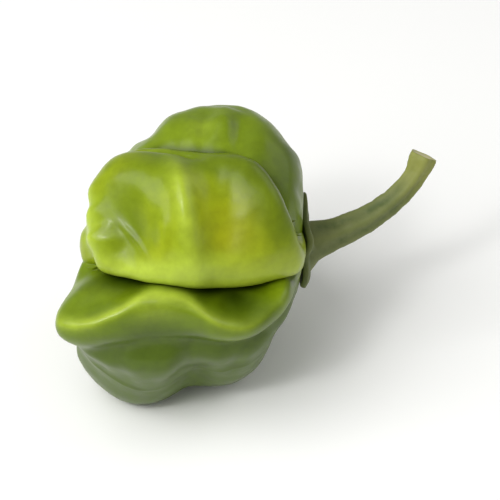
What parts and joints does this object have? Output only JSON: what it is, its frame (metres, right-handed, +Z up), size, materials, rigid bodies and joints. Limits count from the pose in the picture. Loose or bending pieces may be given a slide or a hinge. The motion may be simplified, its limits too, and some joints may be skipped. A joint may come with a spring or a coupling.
{
  "type": "scotch bonnet pepper",
  "caption": "Squat green chilli pepper with a wide wavy brim, a deep groove, dimpled lobes, a star-shaped calyx and a curved cut stalk, lying on its side",
  "frame": {"origin": "on the ground under the middle of the whole pepper with its stalk", "axes": "+Z up; +X from the blossom end towards the stalk; -Y towards the side with the face and the brim"},
  "size_m": [0.0588, 0.0456, 0.0419],
  "materials": {
    "pod": "glossy waxy green pepper skin",
    "calyx_and_stalk": "matte grey-green plant stalk"
  },
  "bodies": {
    "root": {"pod": "pod", "calyx_and_stalk": "calyx_and_stalk"}
  },
  "joints": []
}
